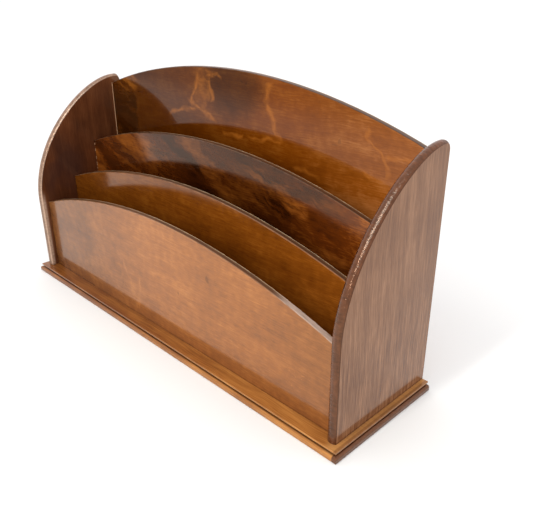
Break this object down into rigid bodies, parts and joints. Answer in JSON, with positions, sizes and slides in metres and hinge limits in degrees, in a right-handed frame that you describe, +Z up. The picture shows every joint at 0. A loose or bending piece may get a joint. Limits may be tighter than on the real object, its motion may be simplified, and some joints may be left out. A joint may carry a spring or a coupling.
{
  "type": "desk organizer",
  "caption": "Varnished wooden letter rack for a desk: arched upright boards between curved end boards on a moulded base, leaving slots open at the top for post.",
  "frame": {"origin": "middle of the underside of the base board, on the surface the rack stands on", "axes": "+X to the right of someone facing the front, -Y towards them, +Z up"},
  "size_m": [0.33, 0.09, 0.1766],
  "materials": {
    "base_wood": "gloss varnish over golden brown stained hardwood",
    "end_wood": "gloss varnish over open-grained brown oak",
    "front_panel_wood": "gloss varnish over warm brown plywood",
    "middle_divider_wood": "gloss varnish over amber brown plywood",
    "rear_divider_wood": "gloss varnish over dark figured walnut-faced plywood",
    "back_panel_wood": "gloss varnish over orange brown plywood",
    "screw_steel": "dull bare steel"
  },
  "bodies": {
    "root": {"base_board": "base_wood", "left_end": "end_wood", "right_end": "end_wood", "front_panel": "front_panel_wood", "middle_divider": "middle_divider_wood", "rear_divider": "rear_divider_wood", "back_panel": "back_panel_wood", "base_screws": "screw_steel"}
  },
  "joints": []
}
